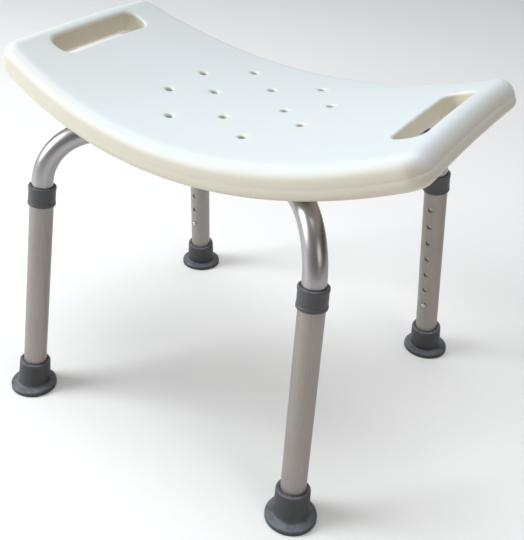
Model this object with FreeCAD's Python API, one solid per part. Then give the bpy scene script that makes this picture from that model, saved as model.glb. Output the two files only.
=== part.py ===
"""Shower stool: a curved, hollow moulded seat on two crossed bent tubes, with four height-set legs.

Millimetres. X runs along the seat, Y to the back, Z up. The origin is on the floor, under the
middle of the seat. The stool is at its lowest setting, with every button in its leg's lowest hole.
"""
import FreeCAD, Part
import math
import os

from FreeCAD import Placement, Rotation, Vector

# --- Stance -----------------------------------------------------------------------------------
FOOT_SPREAD_X = 391.0       # between the left and right feet's centres, on the floor
FOOT_SPREAD_Y = 382.0       # between the front and back feet's centres
LEAN_X = 2.9                # degrees that a leg leans outwards along X
LEAN_Y = 6.6                # degrees that it leans outwards along Y

# --- Seat -------------------------------------------------------------------------------------
SEAT_HEIGHT = 380.4         # floor to the top of the seat, at its middle
SEAT_LENGTH = 511.0         # across the top, before its end edges are rounded
SEAT_WIDTH_MIDDLE = 317.0
SEAT_WIDTH_ENDS = 266.0
SEAT_THICKNESS = 36.0
SEAT_CURVE_RADIUS = 600.0   # the dip along X
SEAT_CROWN_RADIUS = 2780.0  # the slight crown across Y
SEAT_CORNER_RADIUS = 26.0   # in plan
SEAT_TOP_ROUND = 16.0
SEAT_BOTTOM_ROUND = 11.0
SEAT_WALL = 3.0

GRIP_WIDTH = 20.0           # the bar between a hand slot and the seat's end, across the top
SLOT_WIDTH = 31.5
SLOT_LENGTH = 142.0
SLOT_CORNER_RADIUS = 10.0
SLOT_TOP_ROUND = 4.0
SLOT_RELIEF = 14.0          # the slope that eases a slot's lower edge for the fingers

DRAIN_DIAMETER = 8.0
BELOW_SEAT = 200.0          # levels clear of the seat, between which its holes are cut through
ABOVE_SEAT = 500.0
DRAIN_PLACES = ((47.7, 0.0), (0.0, 52.0), (87.5, 34.5), (47.7, 88.0))  # mirrored in X and Y

# --- Tubes ------------------------------------------------------------------------------------
FRAME_TUBE_DIAMETER = 25.4
TUBE_WALL = 1.3
TUBE_SLIDE_GAP = 0.3        # all round, between a frame tube and its leg tube
BEND_RADIUS = 68.0          # of a frame tube's middle line, at the top of a leg
SEAT_OVER_TUBE = 19.7       # plastic and clearance above the runs, at the middle
GROOVE_GAP = 0.2            # around the runs, in the seat's grooves
GROOVE_REACH = 200.0        # from the middle to a groove's end
GROOVE_OPEN = 100.0         # how far down a groove is cut clear, well below the seat
CROSSING_GAP = 0.3          # between the two tubes where they cross
DIP_FLAT = 20.0             # from the middle to where the lower tube starts to climb
DIP_SLOPE = 30.0            # degrees
DIP_BEND_RADIUS = 50.0
FRAME_TUBE_END = 65.0       # height of a frame tube's end, along the leg

# --- Legs, all heights along the leg from the floor -------------------------------------------
COLLAR_HEIGHT = 24.0
COLLAR_BELOW_BEND = 4.6
COLLAR_WALL = 2.3
COLLAR_LIP = 8.3            # the top part, which guides the frame tube
COLLAR_ROUND = 1.2
LOWEST_HOLE = 85.6
HOLE_PITCH = 25.4
HOLE_MARGIN = 20.0          # from the highest hole to the collar, at least

# --- Feet -------------------------------------------------------------------------------------
FOOT_FLANGE_DIAMETER = 58.4
FOOT_FLANGE_EDGE = 5.0
FOOT_CONE_HEIGHT = 11.0
FOOT_CUP_WALL = 4.9
FOOT_HEIGHT = 39.5
FOOT_ROUND = 1.6
FOOT_FLOOR = 7.5            # rubber under the washer
FOOT_WASHER_THICKNESS = 1.5
FOOT_WASHER_BORE = 8.0
TREAD_RINGS = (10.0, 17.0, 24.0)  # radii of the grooves under a foot
TREAD_WIDTH = 2.5
TREAD_DEPTH = 1.5

# --- Snap buttons, all distances from the tube's axis -----------------------------------------
BUTTON_DIAMETER = 6.2
BUTTON_GAP = 0.3
BUTTON_STANDOUT = 3.0       # beyond the leg tube
BUTTON_DOME = 2.2
BUTTON_FLANGE_DIAMETER = 8.8
BUTTON_FLANGE = 1.2
BUTTON_FLANGE_INSET = 1.4   # from the frame tube's inner wall
STRIP_THICKNESS = 0.8
STRIP_WIDTH = 7.0
STRIP_TAIL = 7.0            # the strip's reach below the button
STRIP_FLAT = 8.4            # and its flat reach above it
STRIP_FOLD = 50.4           # from the button up to where the arms' lines meet
STRIP_FOLD_RADIUS = 3.0
STRIP_WALL_GAP = 1.0        # from the tube's inner wall to the free arm's middle line

# --- Fasteners --------------------------------------------------------------------------------
BOLT_DIAMETER = 6.0
BOLT_HOLE_GAP = 0.3
BOLT_HEAD_FLATS = 10.0
BOLT_HEAD_HEIGHT = 4.0
BOLT_DISTANCE = 120.0       # from the middle, along each run
BOLT_THREAD_GAP = 0.05
INSERT_DIAMETER = 8.5
INSERT_LENGTH = 12.0
INSERT_HOLE_SPARE = 1.5     # depth of the seat's hole beyond an insert
BOSS_DIAMETER = 17.0
SADDLE_DIAMETER = 18.0
SADDLE_BASE = 1.8
SADDLE_WRAP = 3.0           # how far a saddle washer rises beside the tube

# --- Worked out -------------------------------------------------------------------------------
UP = Vector(0, 0, 1)
frame_radius = FRAME_TUBE_DIAMETER / 2
leg_inner_radius = frame_radius + TUBE_SLIDE_GAP
leg_radius = leg_inner_radius + TUBE_WALL
run_height = SEAT_HEIGHT - SEAT_OVER_TUBE - frame_radius
CORNERS = {
    "front_left": (-1, -1),
    "front_right": (1, -1),
    "back_left": (-1, 1),
    "back_right": (1, 1),
}


def leg_axis(side_x, side_y):
    """The direction up a leg."""
    lean = Vector(
        -side_x * math.tan(math.radians(LEAN_X)),
        -side_y * math.tan(math.radians(LEAN_Y)),
        1,
    )
    return lean.normalize()


def foot_centre(side_x, side_y):
    return Vector(side_x * FOOT_SPREAD_X / 2, side_y * FOOT_SPREAD_Y / 2, 0)


def leg_placement(side_x, side_y):
    """A leg's own frame: its Z goes up the leg, and its X points at the stool's inside."""
    up_leg = leg_axis(side_x, side_y)
    inwards = Vector(0, -side_y, 0)
    inwards = (inwards - up_leg * inwards.dot(up_leg)).normalize()
    turn = Rotation(inwards, up_leg.cross(inwards), up_leg, "ZXY")
    return Placement(foot_centre(side_x, side_y), turn)


knee = run_height / leg_axis(1, 1).z            # where a leg's line meets the runs' level
knee_place = foot_centre(1, 1) + leg_axis(1, 1) * knee
run_direction = Vector(knee_place.x, knee_place.y, 0).normalize()
bend_turn = leg_axis(1, 1).getAngle(run_direction * -1)
bend_start = knee - BEND_RADIUS * math.tan(bend_turn / 2)
collar_bottom = bend_start - COLLAR_BELOW_BEND - COLLAR_HEIGHT
leg_tube_bottom = FOOT_FLOOR + FOOT_WASHER_THICKNESS
leg_tube_top = collar_bottom + COLLAR_HEIGHT - COLLAR_LIP
height_steps = int((collar_bottom - LOWEST_HOLE - HOLE_MARGIN) // HOLE_PITCH)
button_hole_radius = BUTTON_DIAMETER / 2 + BUTTON_GAP
bolt_hole_radius = BOLT_DIAMETER / 2 + BOLT_HOLE_GAP
seat_pivot = Vector(0, 0, SEAT_HEIGHT + SEAT_CURVE_RADIUS)
end_swing = math.asin(SEAT_LENGTH / 2 / SEAT_CURVE_RADIUS)


# --- Helpers ----------------------------------------------------------------------------------
def rod(radius, start, end):
    """A round bar between two points."""
    return Part.makeCylinder(radius, (end - start).Length, start, end - start)


def ring(outer, inner, bottom, top):
    """An upright tube about the Z axis."""
    height = top - bottom
    whole = Part.makeCylinder(outer, height, Vector(0, 0, bottom))
    return whole.cut(Part.makeCylinder(inner, height, Vector(0, 0, bottom)))


def rounded_path(corners, radii):
    """A wire through the corners, with a tangent arc of the given radius at each inner one."""
    edges = []
    start = corners[0]
    for before, corner, after, radius in zip(corners, corners[1:], corners[2:], radii):
        back = (before - corner).normalize()
        ahead = (after - corner).normalize()
        half_turn = (math.pi - back.getAngle(ahead)) / 2
        reach = radius * math.tan(half_turn)
        middle = (back + ahead).normalize() * (radius / math.cos(half_turn) - radius)
        arc_start = corner + back * reach
        arc_end = corner + ahead * reach
        edges.append(Part.LineSegment(start, arc_start).toShape())
        edges.append(Part.Arc(arc_start, corner + middle, arc_end).toShape())
        start = arc_end
    edges.append(Part.LineSegment(start, corners[-1]).toShape())
    return Part.Wire(edges)


def bent_tube(corners, radii, radius, wall):
    """A round tube along a rounded path."""
    path = rounded_path(corners, radii)
    along = corners[1] - corners[0]
    solids = []
    for size in (radius, radius - wall):
        profile = Part.Wire(Part.makeCircle(size, corners[0], along))
        solids.append(path.makePipeShell([profile], True, False))
    tube = solids[0].cut(solids[1])
    section = math.pi * (radius**2 - (radius - wall) ** 2)
    print("tube volume over section times length:", tube.Volume / (section * path.Length))
    return tube


def edges_where(shape, test):
    """The shape's edges whose ends and middle all pass the test."""
    chosen = []
    for edge in shape.Edges:
        first, last = edge.ParameterRange
        places = [edge.valueAt(first + (last - first) * share) for share in (0.0, 0.5, 1.0)]
        if all(test(place) for place in places):
            chosen.append(edge)
    return chosen


def save(name, shape):
    """One STEP file for a piece, or for a group of like pieces."""
    assert shape.isValid(), name
    shape.exportStep(f"parts/{name}.step")


# --- Seat -------------------------------------------------------------------------------------
def seat_depth(place):
    """How far a place lies below the seat's top, square to it."""
    crown = SEAT_CROWN_RADIUS - math.sqrt(SEAT_CROWN_RADIUS**2 - place.y**2)
    return math.hypot(place.x, seat_pivot.z - place.z) - SEAT_CURVE_RADIUS - crown


def seat_layer(inset):
    """The dipped, crowned slab that the seat is cut from, smaller by the inset on every side.

    Its section across the seat swings about a level line high above the middle, so the two end
    walls stand square to the top.
    """
    half = SEAT_WIDTH_MIDDLE
    sides = []
    for depth in (inset, SEAT_THICKNESS - inset):
        height = SEAT_HEIGHT - depth
        drop = SEAT_CROWN_RADIUS - math.sqrt(SEAT_CROWN_RADIUS**2 - half**2)
        left, right = Vector(0, -half, height - drop), Vector(0, half, height - drop)
        sides.append((left, Vector(0, 0, height), right))
    top, bottom = sides
    section = Part.Wire([
        Part.Arc(*top).toShape(),
        Part.LineSegment(top[2], bottom[2]).toShape(),
        Part.Arc(*reversed(bottom)).toShape(),
        Part.LineSegment(bottom[0], top[0]).toShape(),
    ])
    swing = math.degrees(end_swing - inset / SEAT_CURVE_RADIUS)
    face = Part.Face(section)
    face.rotate(seat_pivot, Vector(0, 1, 0), -swing)
    return face.revolve(seat_pivot, Vector(0, 1, 0), 2 * swing)


def bowed_block(inset):
    """An upright block with the seat's bowed front and back, longer than the seat."""
    end = SEAT_LENGTH / 2
    middle = SEAT_WIDTH_MIDDLE / 2
    corner = SEAT_WIDTH_ENDS / 2
    bow = Part.Arc(Vector(-end, corner, 0), Vector(0, middle, 0), Vector(end, corner, 0)).toShape()
    centre, radius = bow.Curve.Center, bow.Curve.Radius - inset
    block = None
    for side in (1, -1):
        disc = Part.makeCylinder(radius, SEAT_HEIGHT * 2, Vector(0, side * centre.y, 0))
        block = disc if block is None else block.common(disc)
    return block


def rounded_slab(inset):
    """The seat's outside, or its hollow when inset by the wall."""
    slab = seat_layer(inset).common(bowed_block(inset))
    end_reach = SEAT_LENGTH / 2 * 0.9
    across = edges_where(slab, lambda place: abs(place.x) > end_reach
                         and abs(place.y) > SEAT_WIDTH_ENDS / 2 * 0.9)
    slab = slab.makeFillet(SEAT_CORNER_RADIUS - inset, [edge for edge in across if edge.Length < 60])
    top_edges = edges_where(slab, lambda place: abs(seat_depth(place) - inset) < 0.1)
    slab = slab.makeFillet(SEAT_TOP_ROUND - inset, top_edges)
    lowest = SEAT_THICKNESS - inset
    bottom_edges = edges_where(slab, lambda place: abs(seat_depth(place) - lowest) < 0.1)
    return slab.makeFillet(SEAT_BOTTOM_ROUND - inset, bottom_edges)


def slot_block(side, margin):
    """An upright block through a hand slot, larger all round by the margin."""
    outer = side * (SEAT_LENGTH / 2 - GRIP_WIDTH)
    middle = outer - side * SLOT_WIDTH / 2
    width = SLOT_WIDTH + 2 * margin
    length = SLOT_LENGTH + 2 * margin
    block = Part.makeBox(width, length, SEAT_HEIGHT,
                         Vector(middle - width / 2, -length / 2, BELOW_SEAT))
    upright = [edge for edge in block.Edges if abs(edge.tangentAt(0).z) > 0.9]
    return block.makeFillet(SLOT_CORNER_RADIUS + margin, upright)


def in_slot(place, margin=0.5):
    """Whether a place in plan is on or inside either hand slot."""
    outer = SEAT_LENGTH / 2 - GRIP_WIDTH
    return (outer - SLOT_WIDTH - margin < abs(place.x) < outer + margin
            and abs(place.y) < SLOT_LENGTH / 2 + margin)


def drain_places():
    places = set()
    for x, y in DRAIN_PLACES:
        for side_x in (-1, 1):
            for side_y in (-1, 1):
                places.add((side_x * x + 0.0, side_y * y + 0.0))
    return [Vector(x, y, 0) for x, y in sorted(places)]


def runs():
    """The directions of the two straight runs: the upper tube's, then the lower tube's."""
    return run_direction, Vector(run_direction.x, -run_direction.y, 0)


def bolt_places():
    return [run * (side * BOLT_DISTANCE) for run in runs() for side in (-1, 1)]


def groove(run, margin):
    """The space for a frame tube in the seat's underside, open downwards."""
    radius = frame_radius + GROOVE_GAP + margin
    start, end = run * -GROOVE_REACH, run * GROOVE_REACH
    level = UP * run_height
    channel = rod(radius, start + level, end + level)
    depth = Part.makeBox(2 * GROOVE_REACH, 2 * radius, GROOVE_OPEN,
                         Vector(-GROOVE_REACH, -radius, -GROOVE_OPEN))
    depth.rotate(Vector(), UP, math.degrees(math.atan2(run.y, run.x)))
    depth.translate(level)
    return channel.fuse(depth)


def both_grooves(margin):
    upper, lower = [groove(run, margin) for run in runs()]
    return upper.fuse(lower)


def upright_pin(place, radius, bottom, top):
    return rod(radius, Vector(place.x, place.y, bottom), Vector(place.x, place.y, top))


def make_seat():
    seat = rounded_slab(0)
    hollow = rounded_slab(SEAT_WALL)
    openings = [slot_block(side, 0) for side in (-1, 1)]
    linings = [slot_block(side, SLOT_RELIEF + SEAT_WALL) for side in (-1, 1)]
    for place in drain_places():
        openings.append(upright_pin(place, DRAIN_DIAMETER / 2, BELOW_SEAT, ABOVE_SEAT))
        linings.append(upright_pin(place, DRAIN_DIAMETER / 2 + SEAT_WALL, BELOW_SEAT, ABOVE_SEAT))
    seat = seat.cut(Part.Compound(openings))
    top_edges = edges_where(seat, lambda place: in_slot(place) and abs(seat_depth(place)) < 0.1)
    seat = seat.makeFillet(SLOT_TOP_ROUND, top_edges)
    bottom_edges = edges_where(seat, lambda place: in_slot(place)
                               and abs(seat_depth(place) - SEAT_THICKNESS) < 0.1)
    seat = seat.makeChamfer(SLOT_RELIEF, bottom_edges)

    groove_roof = run_height + frame_radius + GROOVE_GAP
    insert_hole_top = groove_roof + INSERT_LENGTH + INSERT_HOLE_SPARE
    insert_holes = []
    for place in [Vector()] + bolt_places():
        insert_holes.append(upright_pin(place, INSERT_DIAMETER / 2, groove_roof - 5, insert_hole_top))
        linings.append(upright_pin(place, BOSS_DIAMETER / 2, BELOW_SEAT, ABOVE_SEAT))
    seat = seat.cut(both_grooves(0)).cut(Part.Compound(insert_holes))
    hollow = hollow.cut(Part.Compound(linings)).cut(both_grooves(SEAT_WALL))
    return seat.cut(hollow)


# --- Frame ------------------------------------------------------------------------------------
def frame_tube(side_x, side_y, dips):
    """A tube from one leg, under the seat, to the opposite leg."""
    corners = []
    radii = []
    near = Vector(-side_x * knee_place.x, -side_y * knee_place.y, run_height)
    far = Vector(side_x * knee_place.x, side_y * knee_place.y, run_height)
    towards = Vector(side_x * run_direction.x, side_y * run_direction.y, 0)
    corners.append(foot_centre(-side_x, -side_y) + leg_axis(-side_x, -side_y) * FRAME_TUBE_END)
    corners.append(near)
    radii.append(BEND_RADIUS)
    if dips:
        drop = FRAME_TUBE_DIAMETER + CROSSING_GAP
        rise_length = drop / math.tan(math.radians(DIP_SLOPE))
        for side, order in ((-1, (1, 0)), (1, (0, 1))):
            for top_end in order:
                reach = DIP_FLAT + top_end * rise_length
                height = run_height - drop * (1 - top_end)
                corners.append(towards * (side * reach) + UP * height)
                radii.append(DIP_BEND_RADIUS)
    corners.append(far)
    radii.append(BEND_RADIUS)
    corners.append(foot_centre(side_x, side_y) + leg_axis(side_x, side_y) * FRAME_TUBE_END)
    tube = bent_tube(corners, radii, frame_radius, TUBE_WALL)
    for side in (-1, 1):
        tube = tube.cut(button_hole(side * side_x, side * side_y, LOWEST_HOLE))
    for place in (towards * -BOLT_DISTANCE, Vector(), towards * BOLT_DISTANCE):
        tube = tube.cut(upright_pin(place, bolt_hole_radius, BELOW_SEAT, ABOVE_SEAT))
    return tube


def button_hole(side_x, side_y, height):
    """A round bar through one wall of a leg's tubes, on the side that faces inwards."""
    bar = rod(button_hole_radius, Vector(2, 0, height), Vector(leg_radius + 5, 0, height))
    bar.Placement = leg_placement(side_x, side_y)
    return bar


# --- Fasteners --------------------------------------------------------------------------------
def saddle_washer(place, run, level):
    """A round washer whose top is hollowed to fit under a tube at the given level."""
    bottom = level - frame_radius - SADDLE_BASE
    top = level - frame_radius + SADDLE_WRAP
    washer = upright_pin(place, SADDLE_DIAMETER / 2, bottom, top)
    washer = washer.cut(rod(frame_radius, place + UP * level - run * 30, place + UP * level + run * 30))
    return washer.cut(upright_pin(place, bolt_hole_radius, bottom - 1, top + 1))


def bolt(place, level):
    """A hexagon-headed bolt from under a saddle washer up into the seat."""
    seat_face = level - frame_radius - SADDLE_BASE
    tip = run_height + frame_radius + GROOVE_GAP + INSERT_LENGTH - 1
    shank = upright_pin(place, BOLT_DIAMETER / 2, seat_face - 1, tip)
    corner = BOLT_HEAD_FLATS / 2 / math.cos(math.radians(30))
    corners = []
    for side in range(7):
        angle = math.radians(60 * side)
        corners.append(Vector(place.x + corner * math.cos(angle), place.y + corner * math.sin(angle),
                              seat_face - BOLT_HEAD_HEIGHT))
    head = Part.Face(Part.makePolygon(corners)).extrude(UP * BOLT_HEAD_HEIGHT)
    return head.fuse(shank).removeSplitter()


def insert(place):
    """A threaded insert, sunk in the seat above a groove."""
    bottom = run_height + frame_radius + GROOVE_GAP
    body = upright_pin(place, INSERT_DIAMETER / 2, bottom, bottom + INSERT_LENGTH)
    bore = BOLT_DIAMETER / 2 + BOLT_THREAD_GAP
    return body.cut(upright_pin(place, bore, bottom - 1, bottom + INSERT_LENGTH + 1))


def make_fasteners():
    bolts, inserts, washers = [], [], []
    for run in runs():
        for side in (-1, 1):
            place = run * (side * BOLT_DISTANCE)
            bolts.append(bolt(place, run_height))
            inserts.append(insert(place))
            washers.append(saddle_washer(place, run, run_height))
    save("seat_bolts", Part.Compound(bolts))
    save("seat_inserts", Part.Compound(inserts))
    save("seat_saddle_washers", Part.Compound(washers))
    low_level = run_height - FRAME_TUBE_DIAMETER - CROSSING_GAP
    save("middle_bolt", bolt(Vector(), low_level))
    save("middle_insert", insert(Vector()))
    save("middle_saddle_washer", saddle_washer(Vector(), runs()[1], low_level))


# --- Legs -------------------------------------------------------------------------------------
def leg_tube():
    tube = ring(leg_radius, leg_inner_radius, leg_tube_bottom, leg_tube_top)
    for step in range(height_steps + 1):
        height = LOWEST_HOLE + step * HOLE_PITCH
        bar = rod(button_hole_radius, Vector(2, 0, height), Vector(leg_radius + 5, 0, height))
        tube = tube.cut(bar)
    return tube


def collar():
    top = collar_bottom + COLLAR_HEIGHT
    body = Part.makeCylinder(leg_radius + COLLAR_WALL, COLLAR_HEIGHT, Vector(0, 0, collar_bottom))
    body = body.makeFillet(COLLAR_ROUND, [edge for edge in body.Edges if edge.Closed])
    body = body.cut(Part.makeCylinder(leg_radius, leg_tube_top - collar_bottom,
                                      Vector(0, 0, collar_bottom)))
    return body.cut(Part.makeCylinder(leg_inner_radius, top - leg_tube_top,
                                      Vector(0, 0, leg_tube_top)))


def foot(side_x, side_y):
    """A rubber foot: its cup follows the leg, and its flange lies flat on the floor."""
    cup_radius = leg_radius + FOOT_CUP_WALL
    flange_radius = FOOT_FLANGE_DIAMETER / 2
    cup = Part.makeCylinder(cup_radius, FOOT_HEIGHT)
    rim = [edge for edge in cup.Edges if edge.Closed and edge.CenterOfMass.z > 1]
    cup = cup.makeFillet(FOOT_ROUND, rim)
    cup.Placement = leg_placement(side_x, side_y)
    profile = Part.makePolygon([
        Vector(0, 0, 0),
        Vector(flange_radius, 0, 0),
        Vector(flange_radius, 0, FOOT_FLANGE_EDGE),
        Vector(cup_radius + 1.5, 0, FOOT_CONE_HEIGHT),
        Vector(0, 0, FOOT_CONE_HEIGHT),
        Vector(0, 0, 0),
    ])
    flange = Part.Face(profile).revolve(Vector(), UP, 360)
    edge_ring = [edge for edge in flange.Edges if edge.Closed
                 and abs(edge.BoundBox.ZMin - FOOT_FLANGE_EDGE) < 0.01]
    flange = flange.makeFillet(FOOT_ROUND, edge_ring)
    flange.translate(foot_centre(side_x, side_y))
    body = flange.fuse(cup)
    body = body.cut(Part.makeBox(200, 200, 50, foot_centre(side_x, side_y) + Vector(-100, -100, -50)))
    for radius in TREAD_RINGS:
        tread = ring(radius + TREAD_WIDTH / 2, radius - TREAD_WIDTH / 2, 0, TREAD_DEPTH)
        tread.translate(foot_centre(side_x, side_y))
        body = body.cut(tread)
    bore = Part.makeCylinder(leg_radius, FOOT_HEIGHT, Vector(0, 0, FOOT_FLOOR))
    bore.Placement = leg_placement(side_x, side_y)
    return body.cut(bore)


def foot_washer():
    return ring(leg_radius - 0.3, FOOT_WASHER_BORE / 2, FOOT_FLOOR, leg_tube_bottom)


def snap_button():
    inner_wall = frame_radius - TUBE_WALL
    flange_end = inner_wall - BUTTON_FLANGE_INSET
    tip = leg_radius + BUTTON_STANDOUT
    level = Vector(0, 0, LOWEST_HOLE)
    pin = rod(BUTTON_DIAMETER / 2, level + Vector(flange_end - 0.5, 0, 0), level + Vector(tip, 0, 0))
    end = [edge for edge in pin.Edges if edge.Closed and edge.CenterOfMass.x > tip - 0.1]
    pin = pin.makeFillet(BUTTON_DOME, end)
    flange_start = level + Vector(flange_end - BUTTON_FLANGE, 0, 0)
    flange = rod(BUTTON_FLANGE_DIAMETER / 2, flange_start, level + Vector(flange_end, 0, 0))
    return pin.fuse(flange).removeSplitter()


def snap_spring():
    """A folded strip in the frame tube: one arm carries the button, the other bears on the wall."""
    inner_wall = frame_radius - TUBE_WALL
    near_arm = inner_wall - BUTTON_FLANGE_INSET - BUTTON_FLANGE - STRIP_THICKNESS / 2
    far_arm = STRIP_WALL_GAP + STRIP_THICKNESS / 2 - inner_wall
    corners = [
        Vector(near_arm, 0, LOWEST_HOLE - STRIP_TAIL),
        Vector(near_arm, 0, LOWEST_HOLE + STRIP_FLAT),
        Vector((near_arm + far_arm) / 2, 0, LOWEST_HOLE + STRIP_FOLD),
        Vector(far_arm, 0, LOWEST_HOLE - STRIP_TAIL),
    ]
    path = rounded_path(corners, (STRIP_FOLD_RADIUS * 2, STRIP_FOLD_RADIUS))
    half, thick = STRIP_WIDTH / 2, STRIP_THICKNESS / 2
    start = corners[0]
    section = Part.makePolygon([
        start + Vector(-thick, -half, 0),
        start + Vector(thick, -half, 0),
        start + Vector(thick, half, 0),
        start + Vector(-thick, half, 0),
        start + Vector(-thick, -half, 0),
    ])
    return path.makePipeShell([section], True, False)


def make_legs():
    for name, (side_x, side_y) in CORNERS.items():
        pieces = {
            "leg_tube": leg_tube(),
            "collar": collar(),
            "foot_washer": foot_washer(),
            "snap_button": snap_button(),
            "snap_spring": snap_spring(),
        }
        for piece, shape in pieces.items():
            shape.Placement = leg_placement(side_x, side_y)
            save(f"{name}_{piece}", shape)
        save(f"{name}_foot", foot(side_x, side_y))


os.makedirs("parts", exist_ok=True)
save("seat", make_seat())
save("upper_frame_tube", frame_tube(1, 1, dips=False))
save("lower_frame_tube", frame_tube(1, -1, dips=True))
make_fasteners()
make_legs()
print("collar bottom", round(collar_bottom, 2), "steps", height_steps, "run height", run_height)
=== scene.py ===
"""Shower stool: a curved moulded seat on two crossed bent tubes, with four height-set legs.

Metres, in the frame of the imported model: X along the seat, Y to the back, Z up from the floor.
Each operator makes one piece, or one group of like pieces, and puts it on its body.
"""
import math

import bmesh
import bpy
from bpy.props import FloatProperty, FloatVectorProperty, PointerProperty
from mathutils import Matrix, Vector


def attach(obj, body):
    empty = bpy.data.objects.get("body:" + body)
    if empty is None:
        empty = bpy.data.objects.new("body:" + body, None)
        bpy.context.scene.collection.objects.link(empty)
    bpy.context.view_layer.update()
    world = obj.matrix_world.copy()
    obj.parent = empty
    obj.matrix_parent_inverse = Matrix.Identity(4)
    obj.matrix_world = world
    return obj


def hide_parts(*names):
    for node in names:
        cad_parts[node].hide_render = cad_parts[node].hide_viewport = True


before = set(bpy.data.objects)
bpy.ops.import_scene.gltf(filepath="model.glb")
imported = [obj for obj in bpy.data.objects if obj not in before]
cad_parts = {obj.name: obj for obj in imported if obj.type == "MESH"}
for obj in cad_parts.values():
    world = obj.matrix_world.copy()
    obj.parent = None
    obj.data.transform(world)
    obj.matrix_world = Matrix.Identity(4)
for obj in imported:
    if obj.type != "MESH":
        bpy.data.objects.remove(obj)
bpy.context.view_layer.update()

bl_info = {
    "name": "Shower Stool",
    "version": (1, 0, 0),
    "blender": (4, 5, 0),
    "location": "View3D > Sidebar > Stool",
    "description": "Makes a shower stool with a moulded seat, crossed tubes and height-set legs",
    "category": "Add Mesh",
}

CORNERS = {
    "front_left": (-1, -1),
    "front_right": (1, -1),
    "back_left": (-1, 1),
    "back_right": (1, 1),
}
MM = 0.001
COLLAR_HEIGHT = 24.0 * MM
COLLAR_BELOW_BEND = 4.6 * MM
TUBE_END = 65.0 * MM            # along the leg, from the floor
LEG_START = 9.0 * MM            # along the leg, from the floor
LEG_INTO_COLLAR = 15.7 * MM
BOLT_HOLE_RADIUS = 3.3 * MM
BOLT_RADIUS = 3.0 * MM
BOLT_HALF_FLATS = 5.0 * MM
BOLT_IN_SEAT = 11.2 * MM        # above the tube's top
WASHER = 1.8 * MM
SOFT_EDGE = 0.3 * MM
INSERT_RADIUS = 4.3 * MM
INSERT_DEPTH = 13.7 * MM        # above the groove's roof
CROSSING_GAP = 0.3 * MM         # between the two tubes, where one dips under the other
CROSSING_SLOPE = math.radians(30)
CUT_REACH = 8 * MM              # how far a cutter stands out of the seat


def length_property(name, description, default):
    """A length in metres, given in millimetres."""
    return FloatProperty(name=name, description=description, default=default * MM, min=0.0,
                         unit="LENGTH", subtype="DISTANCE", precision=4)


def colour_property(name, description, default):
    return FloatVectorProperty(name=name, description=description, default=default, size=3,
                               min=0.0, max=1.0, subtype="COLOR")


class StoolSeatSizes(bpy.types.PropertyGroup):
    """The moulded seat's sizes."""
    height: length_property("Height", "Floor to the seat's top, at its middle", 380.4)
    length: length_property("Length", "Across the top, before its end edges are rounded", 511.0)
    width: length_property("Width", "Front to back at the middle", 317.0)
    end_width: length_property("End width", "Front to back at the two ends", 266.0)
    thickness: length_property("Thickness", "Top to underside", 36.0)
    dip_radius: length_property("Dip radius", "Of the curve along the seat", 600.0)
    crown_radius: length_property("Crown radius", "Of the slight crown across the seat", 2780.0)
    corner_radius: length_property("Corner radius", "Of the four corners in plan", 21.0)
    top_round: length_property("Top round", "Of the edge all round the top", 16.0)
    bottom_round: length_property("Bottom round", "Of the edge all round the underside", 11.0)
    grip_width: length_property("Grip width", "Of the bar outside a hand slot", 20.0)
    slot_width: length_property("Slot width", "Of a hand slot", 31.5)
    slot_length: length_property("Slot length", "Of a hand slot", 152.0)
    slot_corner: length_property("Slot corner", "Radius of a hand slot's corners", 13.0)
    slot_round: length_property("Slot round", "Of a hand slot's upper edge", 3.9)
    slot_relief: length_property("Slot relief", "Of a hand slot's lower edge", 15.5)
    drain: length_property("Drain hole", "Diameter of a drain hole", 8.0)
    drain_round: length_property("Drain round", "Of a drain hole's upper edge", 3.2)
    seam_width: length_property("Seam width", "Of the mould's parting line round the edge", 0.5)
    seam_depth: length_property("Seam depth", "Of the mould's parting line", 0.08)


class StoolFrameSizes(bpy.types.PropertyGroup):
    """The tubes', feet's and fasteners' sizes."""
    spread_x: length_property("Foot spread along", "Between the left and right feet", 391.0)
    spread_y: length_property("Foot spread across", "Between the front and back feet", 382.0)
    lean_x: FloatProperty(name="Lean along", description="Of a leg, outwards along the seat",
                          default=math.radians(2.9), subtype="ANGLE")
    lean_y: FloatProperty(name="Lean across", description="Of a leg, outwards across the seat",
                          default=math.radians(6.6), subtype="ANGLE")
    tube: length_property("Frame tube", "Diameter of a frame tube", 25.4)
    wall: length_property("Tube wall", "Of all tubes", 1.3)
    slide_gap: length_property("Slide gap", "All round, inside a leg tube", 0.3)
    bend_radius: length_property("Bend radius", "At the top of each leg", 68.0)
    seat_over_tube: length_property("Seat over tube", "From the tubes' top to the seat's", 19.7)
    lowest_hole: length_property("Lowest hole", "Along the leg from the floor", 85.6)
    hole_pitch: length_property("Hole pitch", "Between a leg's height holes", 25.4)
    button: length_property("Button", "Diameter of a snap button", 6.2)
    button_standout: length_property("Button stand-out", "Beyond the leg tube", 3.0)
    flange: length_property("Foot flange", "Diameter of a foot where it stands", 58.4)
    foot_height: length_property("Foot height", "Of a foot's cup, along the leg", 39.5)
    bolt_distance: length_property("Bolt distance", "From the middle, along each tube", 120.0)


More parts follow.
